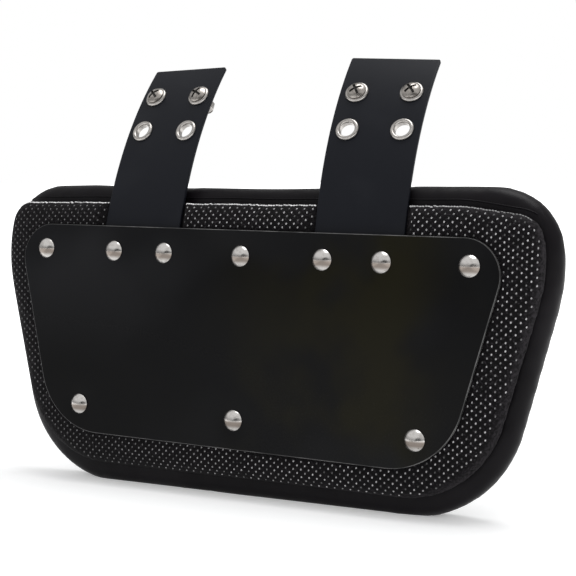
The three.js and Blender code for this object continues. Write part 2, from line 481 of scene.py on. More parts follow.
@dataclass(frozen=True)
class MeshKnit:
    """Black knit of the front padding: open cells between the dots, random paler fibres painted fainter
    towards the bottom as shade, and a painted sheen streaked over the rolled edge towards the right.
    """

    name: str = "black_knit"
    thread: Colour = (0.0029, 0.0022, 0.0031)
    hole: Colour = (0.0009, 0.0007, 0.0010)
    # colour of the random fibres, also used for the painted sheen on the rolled right side
    fluff_and_sheen: Colour = (0.0245, 0.0215, 0.0248)
    sheen: float = 0.008
    roll: Span = (-8.0, -3.5)
    side_rise: Span = (20.0, 110.0)
    # span over which the fibres are painted fainter towards the bottom as shade
    low_shade_fade: Span = (-120.0, -95.0)

    def material(self) -> bpy.types.Material:
        """Builds the material.

        Returns:
            The finished material.
        """
        material, bench = new_material(self.name)
        place = bench.face_point()
        across, up, depth = bench.split(place)
        cells = (across * (math.tau / LATTICE.across)).cosine() * (up * (math.tau / LATTICE.up)).cosine()
        fibre = bench.noise(place, 2.4, 3.0)
        loops = bench.mix(cells.smooth(-0.8, 0.5), self.hole, self.thread)
        # painted shade: the fibres fade towards the bottom
        fibres_shaded_low = bench.noise(place, 1.0, 4.0).smooth(0.54, 0.72) * (0.4 + 0.6 * up.smooth(*self.low_shade_fade))
        # painted sheen: the roll is streaked paler towards the right side
        rolled = (1.0 - depth.smooth(*self.roll)) * across.smooth(*self.side_rise)
        streaks = bench.noise(place, 0.7, 2.0).smooth(0.36, 0.66)
        painted_highlight = rolled * streaks * 0.85
        shade(bench, {
            "Base Color": bench.mix(fibres_shaded_low + (1.0 - fibres_shaded_low) * painted_highlight, loops, self.fluff_and_sheen),
            "Roughness": 0.8 + 0.2 * (fibre - 0.5),
            "Normal": bench.bump(cells * 0.25 + fibre * 0.5, 0.5),
            "Specular IOR Level": 0.14,
            "Sheen Weight": self.sheen,
            "Sheen Roughness": 0.35,
            "Sheen Tint": (0.8, 0.8, 0.82),
        })
        return material


@dataclass(frozen=True)
class PrintedDot:
    """Pale rubber of the dots on the mesh: some printed thicker than others, and painted darker to the left
    as shade.
    """

    name: str = "pale_rubber_dots"
    # thin and thick are the ends of the print weight, which the painted shade also pulls towards thin on
    # the left
    thin: Colour = (0.05, 0.05, 0.05)
    thick: Colour = (0.44, 0.43, 0.44)
    side_light_rise: Span = (-150.0, 60.0)

    def material(self) -> bpy.types.Material:
        """Builds the material.

        Returns:
            The finished material.
        """
        material, bench = new_material(self.name)
        place = bench.face_point()
        across, _, _ = bench.split(place)
        # painted shade: the dots darken towards the left side
        painted_side_light = 0.1 + 0.9 * across.smooth(*self.side_light_rise)
        print_and_side_light = bench.noise(place, 0.31, 1.0).smooth(0.3, 0.62) * painted_side_light
        shade(bench, {
            "Base Color": bench.mix(print_and_side_light, self.thin, self.thick),
            "Roughness": 0.5 - 0.15 * print_and_side_light,
            "Normal": bench.bump(bench.noise(place, 3.0, 2.0), 0.08),
        })
        return material


@dataclass(frozen=True)
class TopRollHighlight:
    """Painted highlight along the mesh's top roll, laid as pale beads: fainter to the right and broken up
    at random.
    """

    name: str = "painted_top_roll_highlight"
    # dull and bright: the fainter and the full colour of the painted highlight
    dull: Colour = (0.09, 0.088, 0.09)
    bright: Colour = (0.80, 0.79, 0.80)
    roll_highlight_fade: Span = (60.0, 150.0)

    def material(self) -> bpy.types.Material:
        """Builds the material.

        Returns:
            The finished material.
        """
        material, bench = new_material(self.name)
        place = bench.face_point()
        across, _, _ = bench.split(place)
        highlight_breaks = bench.noise(place, 0.25, 2.0).smooth(0.3, 0.6)
        # painted highlight: it fades towards the right and breaks up at random
        shown = (1.0 - 0.85 * across.smooth(*self.roll_highlight_fade)) * (0.45 + 0.55 * highlight_breaks)
        shade(bench, {
            "Base Color": bench.mix(shown, self.dull, self.bright),
            "Roughness": 0.6 - 0.1 * highlight_breaks,
            "Normal": bench.bump(bench.noise(place, 2.5, 2.0), 0.1),
        })
        return material


@dataclass(frozen=True)
class SatinCloth:
    """Smooth coated cloth of the rim, with a close weave and slack ripples."""

    name: str = "satin_black_cloth"
    base: Colour = (0.0030, 0.0023, 0.0033)
    faded: Colour = (0.0054, 0.0043, 0.0058)
    roughness: float = 0.40
    weave_pitch: float = 0.7

    def material(self) -> bpy.types.Material:
        """Builds the material.

        Returns:
            The finished material.
        """
        material, bench = new_material(self.name)
        place = bench.face_point()
        across, up, _ = bench.split(place)
        turns = math.tau / self.weave_pitch
        weave = (across * turns).cosine() * (up * turns).cosine()
        ripples = bench.noise(place, 0.045, 2.0)
        shade(bench, {
            "Base Color": bench.mix(bench.noise(place, 0.02, 3.0).smooth(0.35, 0.7), self.base, self.faded),
            "Roughness": self.roughness + 0.12 * (ripples - 0.5),
            "Normal": bench.bump(ripples + weave * 0.012, 1.6),
            "Specular IOR Level": 0.12,
        })
        return material


@dataclass(frozen=True)
class SewingThread:
    """Black sewing thread of the seams."""

    name: str = "black_thread"
    dark: Colour = (0.008, 0.008, 0.009)
    light: Colour = (0.02, 0.02, 0.021)

    def material(self) -> bpy.types.Material:
        """Builds the material.

        Returns:
            The finished material.
        """
        material, bench = new_material(self.name)
        twist = bench.noise(bench.face_point(), 2.0, 2.0)
        shade(bench, {
            "Base Color": bench.mix(twist, self.dark, self.light),
            "Roughness": 0.5 + 0.2 * twist,
            "Normal": bench.bump(twist, 0.15),
        })
        return material


@dataclass(frozen=True)
class Nickel:
    """Polished nickel with light handling marks, and a painted reflection: a brownish dark band over the
    lower half of each rivet's dome.
    """

    name: str = "polished_nickel"
    bright: Colour = (0.62, 0.60, 0.58)
    dull: Colour = (0.44, 0.415, 0.395)
    # colour of the painted reflection band on the rivets
    reflection_band_colour: Colour = (0.21, 0.18, 0.158)
    roughness: float = 0.2
    low_row: float = -86.5
    band_low: Span = (-4.9, -2.2)
    band_high: Span = (-1.0, 0.9)

    def material(self) -> bpy.types.Material:
        """Builds the material.

        Returns:
            The finished material.
        """
        material, bench = new_material(self.name)
        place = bench.face_point()
        _, up, _ = bench.split(place)
        marks = bench.noise(place, 0.55, 4.0).smooth(0.45, 0.8)
        low = 1.0 - up.smooth(self.low_row / 2.0 - 1.0, self.low_row / 2.0 + 1.0)
        above_axis = up - self.low_row * low
        # painted reflection: a brownish dark band over each rivet's lower half
        painted_reflection_band = above_axis.smooth(*self.band_low) * (1.0 - above_axis.smooth(*self.band_high))
        metal = bench.mix(marks, self.bright, self.dull)
        shade(bench, {
            "Base Color": bench.mix(painted_reflection_band, metal, self.reflection_band_colour),
            "Metallic": 1.0,
            "Roughness": self.roughness + 0.12 * marks,
            "Normal": bench.bump(bench.noise(place, 0.35, 1.0), 0.012),
        })
        return material


@dataclass(frozen=True)
class RecessShade:
    """Painted shade inside the screws' cross recesses: dark, dull metal."""

    name: str = "painted_recess_shade"
    dark: Colour = (0.01, 0.009, 0.008)
    light: Colour = (0.035, 0.03, 0.027)

    def material(self) -> bpy.types.Material:
        """Builds the material.

        Returns:
            The finished material.
        """
        material, bench = new_material(self.name)
        # painted shade: the recess faces are dark, with slight random variation
        shade_noise = bench.noise(bench.face_point(), 1.5, 2.0)
        shade(bench, {
            "Base Color": bench.mix(shade_noise, self.dark, self.light),
            "Roughness": 0.55 + 0.2 * shade_noise,
        })
        return material


@dataclass(frozen=True)
class Arc:
    """One round stretch of an outline: its centre, radius, and the angles where it starts and ends."""

    x: float
    y: float
    radius: float
    start: float
    end: float
    step: float = 2.0

    def first(self, depth: float) -> Vector:
        """The point where the arc starts.

        Args:
            depth: the z at which the arc lies.

        Returns:
            The point.
        """
        return Vector((
            self.x + self.radius * math.cos(self.start), self.y + self.radius * math.sin(self.start), depth
        ))

    def steps(self) -> int:
        """How many straight bits it is drawn with."""
        return max(3, round(self.radius * (self.end - self.start) / self.step))


@dataclass(frozen=True)
class Outline:
    """A rounded trapezoid. The half widths are those of its sharp corners, which the radii round off.

    An upper corner is a tight arc that eases into a wider shoulder at the shoulder's angle above the level.
    """

    top: float
    bottom: float
    top_half: float
    bottom_half: float
    top_radius: float
    shoulder_radius: float
    shoulder_angle: float
    bottom_radius: float

    def slant(self) -> float:
        """The angle by which the sides lean outwards."""
        return math.atan((self.top_half - self.bottom_half) / (self.top - self.bottom))

    def beside(self, y: float, inset: float) -> float:
        """How far out a point lies that is this much inside the slanted side at that height."""
        slant = self.slant()
        return self.top_half - (self.top - y) * math.tan(slant) - inset / math.cos(slant)

    def arcs(self) -> list[Arc]:
        """The arcs of the right-hand side.

        Returns:
            The lower corner, the shoulder and the upper corner.
        """
        slant = self.slant()
        ease = math.radians(self.shoulder_angle)
        widening = self.shoulder_radius - self.top_radius
        bottom_y = self.bottom + self.bottom_radius
        top_y = self.top - self.top_radius
        shoulder_y = top_y - widening * math.sin(ease)
        shoulder_x = self.beside(shoulder_y, self.shoulder_radius)
        top_x = shoulder_x + widening * math.cos(ease)
        square = math.pi / 2.0
        bottom_x = self.beside(bottom_y, self.bottom_radius)
        return [
            Arc(bottom_x, bottom_y, self.bottom_radius, -square, -slant),
            Arc(shoulder_x, shoulder_y, self.shoulder_radius, -slant, ease),
            Arc(top_x, top_y, self.top_radius, ease, square),
        ]

    def grown(self, margin: float) -> "Outline":
        """An outline that keeps the same distance from this one all round.

        Args:
            margin: how far out it lies, or how far in if negative.

        Returns:
            The new outline.
        """
        slant = self.slant()
        outwards = margin / math.cos(slant)
        upwards = margin * math.tan(slant)
        return Outline(
            self.top + margin,
            self.bottom - margin,
            self.top_half + outwards + upwards,
            self.bottom_half + outwards - upwards,
            self.top_radius + margin,
            self.shoulder_radius + margin,
            self.shoulder_angle,
            self.bottom_radius + margin,
        )

    def draw(self, bm: bmesh.types.BMesh, depth: float) -> bmesh.types.BMFace:
        """Draws the outline at one depth and fills it.

        Args:
            bm: an empty bmesh.
            depth: the z at which the outline lies.

        Returns:
            The filled face.
        """
        last = bm.verts.new((0.0, self.bottom, depth))
        for arc in self.arcs():
            first = bm.verts.new(arc.first(depth))
            bm.edges.new((last, first))
            swept = bmesh.ops.spin(
                bm, geom=[first], cent=(arc.x, arc.y, depth), axis=(0.0, 0.0, 1.0),
                angle=arc.end - arc.start, steps=arc.steps(),
            )
            last = swept["geom_last"][0]
        bm.edges.new((last, bm.verts.new((0.0, self.top, depth))))
        bmesh.ops.mirror(bm, geom=bm.verts[:] + bm.edges[:], axis="X", merge_dist=WELD)
        return bmesh.ops.contextual_create(bm, geom=bm.edges[:])["faces"][0]

    def points(self, spacing: float) -> list[Vector]:
        """Evenly spaced points along the outline.

        Args:
            spacing: about how far apart they are.

        Returns:
            The points, anticlockwise from the bottom.
        """
        bm = bmesh.new()
        corners = [vertex.co.copy() for vertex in self.draw(bm, 0.0).verts]
        bm.free()
        closed = [*corners, corners[0]]
        spans = [(b - a).length for a, b in zip(closed, closed[1:])]
        count = round(sum(spans) / spacing)
        pitch = sum(spans) / count
        places = []
        walked = 0.0
        for start, end, span in zip(closed, closed[1:], spans):
            while len(places) * pitch < walked + span and len(places) < count:
                places.append(start.lerp(end, (len(places) * pitch - walked) / span))
            walked += span
        return places

    def half_width(self, y: float) -> float:
        """Half of the outline's width.

        Args:
            y: the height to measure it at.

        Returns:
            The distance from the middle to the right-hand side.
        """
        for arc in self.arcs():
            low = arc.y + arc.radius * math.sin(arc.start)
            high = arc.y + arc.radius * math.sin(arc.end)
            if low <= y <= high:
                return arc.x + math.sqrt(max(0.0, arc.radius**2 - (y - arc.y) ** 2))
        return self.beside(y, 0.0)

    def holds(self, x: float, y: float) -> bool:
        """Whether a point lies inside the outline."""
        return self.bottom <= y <= self.top and abs(x) <= self.half_width(y)


@dataclass(frozen=True)
class Layers:
    """The depths of the layers behind the plate's front face."""

    gap: float = 0.3
    plate: float = 2.2
    mesh: float = 10.9
    rim: float = 16.0

    @property
    def mesh_front(self) -> float:
        """Front of the mesh padding."""
        return -self.plate - self.gap

    @property
    def mesh_back(self) -> float:
        """Back of the mesh padding."""
        return self.mesh_front - self.mesh

    @property
    def rim_front(self) -> float:
        """Front of the rim padding."""
        return self.mesh_back - self.gap

    @property
    def rim_back(self) -> float:
        """Back of the rim padding."""
        return self.rim_front - self.rim


LAYERS = Layers()
IN_FRONT = Vector((0.0, 0.0, 20.0))
AT_BACK = Vector((0.0, 0.0, -60.0))

PLATE_OUTLINE = Outline(
    top=13.8, bottom=-102.0, top_half=148.2, bottom_half=118.6,
    top_radius=19.0, shoulder_radius=19.0, shoulder_angle=30.0, bottom_radius=40.0,
)
MESH_OUTLINE = Outline(
    top=28.5, bottom=-120.3, top_half=170.9, bottom_half=131.6,
    top_radius=21.0, shoulder_radius=83.0, shoulder_angle=12.0, bottom_radius=54.0,
)
RIM_OUTLINE = Outline(
    top=37.6, bottom=-129.7, top_half=180.5, bottom_half=137.1,
    top_radius=36.0, shoulder_radius=90.0, shoulder_angle=5.0, bottom_radius=62.0,
)


def level_edges(bm: bmesh.types.BMesh, depth: float) -> list[bmesh.types.BMEdge]:
    """The edges that lie at one depth."""
    return [edge for edge in bm.edges if all(abs(end.co.z - depth) < WELD for end in edge.verts)]


def broad_faces(bm: bmesh.types.BMesh) -> list[bmesh.types.BMFace]:
    """The faces that lie flat, at any depth."""
    return [face for face in bm.faces if abs(face.normal.z) > LEVEL]


def round_off(
    bm: bmesh.types.BMesh, edges: Sequence[bmesh.types.BMEdge], size: float, segments: int
) -> None:
    """Rounds edges off.

    Args:
        bm: the bmesh that they belong to.
        edges: the edges.
        size: how far the rounding reaches from each edge.
        segments: how many facets it has.
    """
    bmesh.ops.bevel(
        bm, geom=edges, offset=size, offset_type="OFFSET", segments=segments, profile=0.5,
        affect="EDGES", material=-1, clamp_overlap=False, loop_slide=True,
    )


def thicken(bm: bmesh.types.BMesh, height: float) -> None:
    """Extrudes a flat face into a closed shape.

    Args:
        bm: a bmesh that holds only that face.
        height: how far along z it goes.
    """
    grown = bmesh.ops.extrude_face_region(bm, geom=bm.faces[:])["geom"]
    moved = [part for part in grown if isinstance(part, bmesh.types.BMVert)]
    bmesh.ops.translate(bm, verts=moved, vec=(0.0, 0.0, height))
    bmesh.ops.recalc_face_normals(bm, faces=bm.faces[:])


def slab(outline: Outline, back: float, front: float) -> bmesh.types.BMesh:
    """Makes a square-edged slab.

    Args:
        outline: its outline.
        back: the depth of its back.
        front: the depth of its front.

    Returns:
        The slab.
    """
    bm = bmesh.new()
    outline.draw(bm, front)
    thicken(bm, back - front)
    return bm


def turned(profile: Sequence[tuple[float, float]], steps: int, closed: bool = False) -> bmesh.types.BMesh:
    """Spins a profile once round the z axis.

    Args:
        profile: its radii and heights.
        steps: facets round the axis.
        closed: whether its ends are joined, as in a ring.

    Returns:
        The turned shape.
    """
    bm = bmesh.new()
    ring = [bm.verts.new((radius, 0.0, height)) for radius, height in profile]
    edges = [bm.edges.new(pair) for pair in zip(ring, ring[1:])]
    if closed:
        edges.append(bm.edges.new((ring[-1], ring[0])))
    bmesh.ops.spin(
        bm, geom=ring + edges, cent=(0.0, 0.0, 0.0), axis=(0.0, 0.0, 1.0),
        angle=math.tau, steps=steps, use_merge=True,
    )
    bmesh.ops.remove_doubles(bm, verts=bm.verts[:], dist=WELD)
    bmesh.ops.recalc_face_normals(bm, faces=bm.faces[:])
    return bm


def sweep(
    centre: tuple[float, float], radius: float, start: float, end: float, steps: int
) -> list[tuple[float, float]]:
    """Points along an arc of a profile.

    Args:
        centre: the arc's centre, as a radius and a height.
        radius: its own radius.
        start: the angle of its first point, in degrees.
        end: the angle of its last point, in degrees.
        steps: how many straight bits it has.

    Returns:
        The points from start to end.
    """
    angles = [math.radians(start + (end - start) * step / steps) for step in range(steps + 1)]
    return [(centre[0] + radius * math.cos(a), centre[1] + radius * math.sin(a)) for a in angles]


def dome(edge: float, low: float, top: float, steps: int) -> list[tuple[float, float]]:
    """Points along the profile of a domed head.

    Args:
        edge: the head's radius.
        low: the height at which the dome starts.
        top: the height of its crown.
        steps: how many straight bits it has.

    Returns:
        The points from the edge to the crown.
    """
    crown = top - low
    radius = (edge**2 + crown**2) / (2.0 * crown)
    span = math.degrees(math.asin(edge / radius))
    return sweep((0.0, top - radius), radius, 90.0 - span, 90.0, steps)


def make_object(name: str, bm: bmesh.types.BMesh, place: Matrix) -> bpy.types.Object:
    """Turns a bmesh into a smooth-shaded object at the origin, with its place in its mesh.

    Args:
        name: the object's name.
        bm: the shape, which is used up.
        place: the way from the shape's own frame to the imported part's.

    Returns:
        The linked object.
    """
    bm.transform(place)
    mesh = bpy.data.meshes.new(name)
    bm.to_mesh(mesh)
    bm.free()
    mesh.shade_smooth()
    mesh.set_sharp_from_angle(angle=CREASE)
    piece = bpy.data.objects.new(name, mesh)
    bpy.context.scene.collection.objects.link(piece)
    return piece


def settle(piece: bpy.types.Object) -> None:
    """Applies an object's modifiers to its mesh.

    Args:
        piece: the object.
    """
    evaluated = piece.evaluated_get(bpy.context.evaluated_depsgraph_get())
    finished = bpy.data.meshes.new_from_object(evaluated)
    piece.modifiers.clear()
    piece.data = finished


def carve(piece: bpy.types.Object, cutter: bpy.types.Object) -> None:
    """Cuts one object out of another.

    Args:
        piece: the object to cut.
        cutter: the shape to cut out, which is used up.
    """
    cut = piece.modifiers.new("cut", "BOOLEAN")
    cut.operation = "DIFFERENCE"
    cut.solver = "EXACT"
    cut.use_self = True
    cut.material_mode = "TRANSFER"
    cut.object = cutter
    settle(piece)
    piece.data.set_sharp_from_angle(angle=CREASE)
    bpy.data.objects.remove(cutter)


def hand_over(piece: bpy.types.Object, slot: Slot, nodes: Iterable[str] = ()) -> bpy.types.Object:
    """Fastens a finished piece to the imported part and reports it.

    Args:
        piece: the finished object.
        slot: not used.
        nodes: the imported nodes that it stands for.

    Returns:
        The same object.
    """
    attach(piece, BODY)
    names = list(nodes)
    if names:
        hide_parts(*names)
    LOG.info("%s: %d faces, for %s", piece.name, len(piece.data.polygons), ", ".join(names) or "itself")
    return piece


def scatter(name: str, places: Iterable[Matrix], segments: int, rings: int) -> bpy.types.Object:
    """Joins many small beads into one object.

    Args:
        name: the object's name.
        places: where each unit bead goes in the face frame, its stretch included.
        segments: facets round each bead.
        rings: facets from its top to its bottom.

    Returns:
        The joined object.
    """
    batch_size = 48
    whole = bmesh.new()
    waiting = iter(places)
    while batch := list(islice(waiting, batch_size)):
        few = bmesh.new()
        for place in batch:
            bmesh.ops.create_uvsphere(few, u_segments=segments, v_segments=rings, radius=1.0, matrix=place)
        carrier = bpy.data.meshes.new("batch")
        few.to_mesh(carrier)
        few.free()
        whole.from_mesh(carrier)
        bpy.data.meshes.remove(carrier)
    piece = make_object(name, whole, FACE_MATRIX)
    piece.data.shade_smooth()
    return piece


def lying_along(point: Vector, normal: Vector, ahead: Vector, stretch: Sequence[float]) -> Matrix:
    """Where a unit bead goes to lie on a surface.

    Args:
        point: the place on the surface.
        normal: the surface's direction there.
        ahead: the way that the bead's first side points.
        stretch: the bead's half sizes.

    Returns:
        The bead's matrix.
    """
    aside = normal.cross(ahead).normalized()
    turn = Matrix((aside.cross(normal), aside, normal)).transposed().to_4x4()
    return Matrix.Translation(point) @ turn @ Matrix.Diagonal((*stretch, 1.0))


def face_tree(piece: bpy.types.Object) -> BVHTree:
    """A search tree of an object's surface in face millimetres."""
    points = [TO_FACE @ vertex.co for vertex in piece.data.vertices]
    return BVHTree.FromPolygons(points, [tuple(face.vertices) for face in piece.data.polygons])


@dataclass(frozen=True)
class Strap:
    """One hanging strap, bent backwards about an axis that dips towards its outer side."""

    side: Side
    top: float
    width: float = 49.4
    thickness: float = 2.0
    low: float = -14.0
    top_slope: float = 0.8
    centre: float = 66.1
    converge: float = 1.4
    bend_radius: float = 190.0
    axis_tilt: float = 8.0
    corner_radius: float = 1.0
    edge: float = 0.4
    strip: float = 2.5
    hole: float = 4.9
    open_row: float = 68.2
    bolted_row: float = 88.8
    eyelet_spread: float = 15.0

    def middle(self, y: float) -> float:
        """How far out the strap's middle lies at a height."""
        return self.centre - y * math.tan(math.radians(self.converge))

    def tilt(self) -> float:
        """The angle by which the axis of the bend dips."""
        return -self.side.value * math.radians(self.axis_tilt)

    def up_the_bend(self) -> Vector:
        """The direction across the axis of the bend."""
        return Vector((-math.sin(self.tilt()), math.cos(self.tilt())))

    def bend_at(self, x: float, y: float) -> float:
        """How far the strap has bent.

        Args:
            x: how far across the point lies.
            y: how far up it lies.

        Returns:
            The angle of the bend there.
        """
        start = self.up_the_bend().dot(Vector((self.side.value * self.centre, self.low)))
        along = self.up_the_bend().dot(Vector((x, y))) - start
        return math.asin(max(0.0, along) / self.bend_radius)

    def front(self, x: float, y: float) -> float:
        """Depth of the strap's front at a point."""
        return LAYERS.mesh_front - self.bend_radius * (1.0 - math.cos(self.bend_at(x, y)))

    def seat(self, x: float, y: float) -> Matrix:
        """The frame of a point on the strap's front, with z standing out of it."""
        turn = Matrix.Rotation(self.tilt(), 4, "Z") @ Matrix.Rotation(-self.bend_at(x, y), 4, "X")
        return Matrix.Translation((x, y, self.front(x, y))) @ turn

    def bent(self, point: Vector) -> Vector:
        """Where the bend takes a point of the flat strap.

        Args:
            point: the point, with its depth below the strap's front as z.

        Returns:
            The point on the bent strap.
        """
        angle = self.bend_at(point.x, point.y)
        sunk = self.up_the_bend() * math.sin(angle) * point.z
        return Vector((
            point.x + sunk.x, point.y + sunk.y, self.front(point.x, point.y) + math.cos(angle) * point.z
        ))

    def beyond(self, x: float, y: float) -> float:
        """How far a point lies outside the strap, as seen from the front.

        Args:
            x: how far across the point lies.
            y: how far up it lies.

        Returns:
            The distance, or 0 on the strap.
        """
        across = abs(self.side.value * x - self.middle(y)) - self.width / 2.0
        below = self.low - y
        return max(0.0, across, below)

    def eyelets(self) -> dict[str, tuple[float, float]]:
        """Where the eyelets sit.

        Returns:
            Each eyelet's place by its label.
        """
        rows = {"open": self.open_row, "bolted": self.bolted_row}
        columns = {"outer": self.eyelet_spread, "inner": -self.eyelet_spread}
        return {
            f"{row}_{column}": (self.side.value * (self.middle(y) + spread), y)
            for row, y in rows.items()
            for column, spread in columns.items()
        }

    def flat(self) -> bmesh.types.BMesh:
        """Makes the strap before it is bent.

        Returns:
            The flat strap, cut into strips that can follow the bend.
        """
        half = self.width / 2.0
        fall = math.tan(math.radians(self.top_slope))
        bm = bmesh.new()
        outer_top = self.top - half * fall
        inner_top = self.top + half * fall
        plan = [(-half, self.low), (half, self.low), (half, outer_top), (-half, inner_top)]
        corners = [bm.verts.new((self.side.value * (self.middle(y) + out), y, 0.0)) for out, y in plan]
        bm.faces.new(corners)
        bmesh.ops.bevel(
            bm, geom=corners[2:], offset=self.corner_radius, offset_type="OFFSET", segments=4,
            profile=0.5, affect="VERTICES", material=-1, clamp_overlap=False,
        )
        thicken(bm, -self.thickness)
        rims = level_edges(bm, 0.0) + level_edges(bm, -self.thickness)
        round_off(bm, rims, self.edge, segments=3)
        bmesh.ops.inset_region(bm, faces=broad_faces(bm), thickness=self.edge, depth=0.0)
        height = self.low + self.strip
        while height < self.top:
            bmesh.ops.bisect_plane(
                bm, geom=bm.verts[:] + bm.edges[:] + bm.faces[:], plane_co=(0.0, height, 0.0),
                plane_no=(0.0, 1.0, 0.0),
            )
            height += self.strip
        return bm

    def hole_pins(self, material: bpy.types.Material) -> bpy.types.Object:
        """Makes the pins that cut the eyelets' holes.

        Args:
            material: the finish of the holes' walls.

        Returns:
            All the pins as one object.
        """
        bm = bmesh.new()
        for x, y in self.eyelets().values():
            bmesh.ops.create_cone(
                bm, cap_ends=True, segments=40, radius1=self.hole, radius2=self.hole,
                depth=4.0 * self.thickness, matrix=self.seat(x, y),
            )
        pins = make_object(f"{self.side.label}_hole_pins", bm, FACE_MATRIX)
        pins.data.materials.append(material)
        return pins

    def build(self, material: bpy.types.Material) -> bpy.types.Object:
        """Makes the bent strap with its holes.

        Args:
            material: the strap's finish.

        Returns:
            The finished strap.
        """
        bm = self.flat()
        for vertex in bm.verts:
            vertex.co = self.bent(vertex.co)
        piece = make_object(f"{self.side.label}_strap_band", bm, FACE_MATRIX)
        piece.data.materials.append(material)
        carve(piece, self.hole_pins(material))
        return hand_over(piece, Slot.STRAP, [f"strap_{self.side.label}"])


@dataclass(frozen=True)
class Inflation:
    """How a sewn cover swells over its filling."""

    voxel: float = 2.2
    pressure: float = 4.0
    frames: int = 20
    limit: float = 2.0
    smoothing: int = 5
    quality: int = 6
    mass: float = 0.2

    def simulate(self, piece: bpy.types.Object, held: Callable[[Vector], bool]) -> None:
        """Blows the cover up as cloth, with a cap on how far any point may move.

        Args:
            piece: the remeshed cover, in metres in the face frame.
            held: whether a point, in face millimetres, is held still.
        """
        start = [vertex.co.copy() for vertex in piece.data.vertices]
        group = piece.vertex_groups.new(name="held")
        group.add([i for i, co in enumerate(start) if held(co / MM)], 1.0, "REPLACE")
        cloth = piece.modifiers.new("cover", "CLOTH")
        cloth.settings.quality = self.quality
        cloth.settings.mass = self.mass
        cloth.settings.use_pressure = True
        cloth.settings.uniform_pressure_force = self.pressure
        cloth.settings.vertex_group_mass = group.name
        cloth.settings.effector_weights.gravity = 0.0
        cloth.point_cache.frame_end = self.frames
        for step in range(1, self.frames + 1):
            bpy.context.scene.frame_set(step)
        settle(piece)
        bpy.context.scene.frame_set(1)
        for vertex, before in zip(piece.data.vertices, start):
            moved = vertex.co - before
            if moved.length > self.limit * MM:
                vertex.co = before + moved.normalized() * self.limit * MM

    def apply(self, piece: bpy.types.Object, held: Callable[[Vector], bool]) -> None:
        """Remeshes, swells and smooths a cover.

        Args:
            piece: the plain cover, in metres in the face frame.
            held: whether a point, in face millimetres, is held still.
        """
        plain = piece.copy()
        bpy.context.scene.collection.objects.link(plain)
        remesh = piece.modifiers.new("even", "REMESH")
        remesh.mode = "VOXEL"
        remesh.voxel_size = self.voxel * MM
        remesh.use_smooth_shade = True
        fit = piece.modifiers.new("fit", "SHRINKWRAP")
        fit.wrap_method = "NEAREST_SURFACEPOINT"
        fit.target = plain
        settle(piece)
        bpy.data.objects.remove(plain)
        self.simulate(piece, held)
        bm = bmesh.new()
        bm.from_mesh(piece.data)
        for _ in range(self.smoothing):
            bmesh.ops.smooth_vert(
                bm, verts=bm.verts[:], factor=0.5, use_axis_x=True, use_axis_y=True, use_axis_z=True
            )
        bm.to_mesh(piece.data)
        bm.free()


def clear_of_straps(point: Vector, straps: Sequence[Strap]) -> Vector:
    """Presses a point of the padding back to make room for the straps.

    Args:
        point: the point, in face millimetres.
        straps: the two straps.

    Returns:
        The point, moved back where a strap lies on it.
    """
    clearance = 0.5
    ease = 1.1
    pressed = point.copy()
    for strap in straps:
        out = strap.beyond(point.x, point.y)
        floor = strap.front(point.x, point.y) - strap.thickness - clearance + ease * out
        pressed.z = min(pressed.z, floor)
    return pressed


@dataclass(frozen=True)
class Slack:
    """How a cover's upper edge hangs between the straps, swells by the left one, ripples and droops."""

    sag: float
    swell: float
    ripple: float
    droop: float = 0.0
    sag_span: float = 70.0
    swell_place: float = -112.0
    swell_span: float = 34.0
    ripple_length: float = 38.0
    droop_start: float = 110.0
    droop_end: float = 168.0

    def move(self, point: Vector) -> Vector:
        """Where a point of the cover goes.

        Args:
            point: the point, in face millimetres.

        Returns:
            The moved point.
        """
        upper = min(1.0, max(0.0, point.y / RIM_OUTLINE.top))
        hang = self.sag * math.exp(-((point.x / self.sag_span) ** 2))
        rise = self.swell * math.exp(-(((point.x - self.swell_place) / self.swell_span) ** 2))
        spot = Vector((point.x, point.z, self.ripple_length)) / self.ripple_length
        stray = self.ripple * noise.noise(spot)
        way = min(1.0, max(0.0, (point.x - self.droop_start) / (self.droop_end - self.droop_start)))
        droop = self.droop * way * way * (3.0 - 2.0 * way)
        return point + Vector((0.0, (rise + stray - hang - droop) * upper, 0.0))


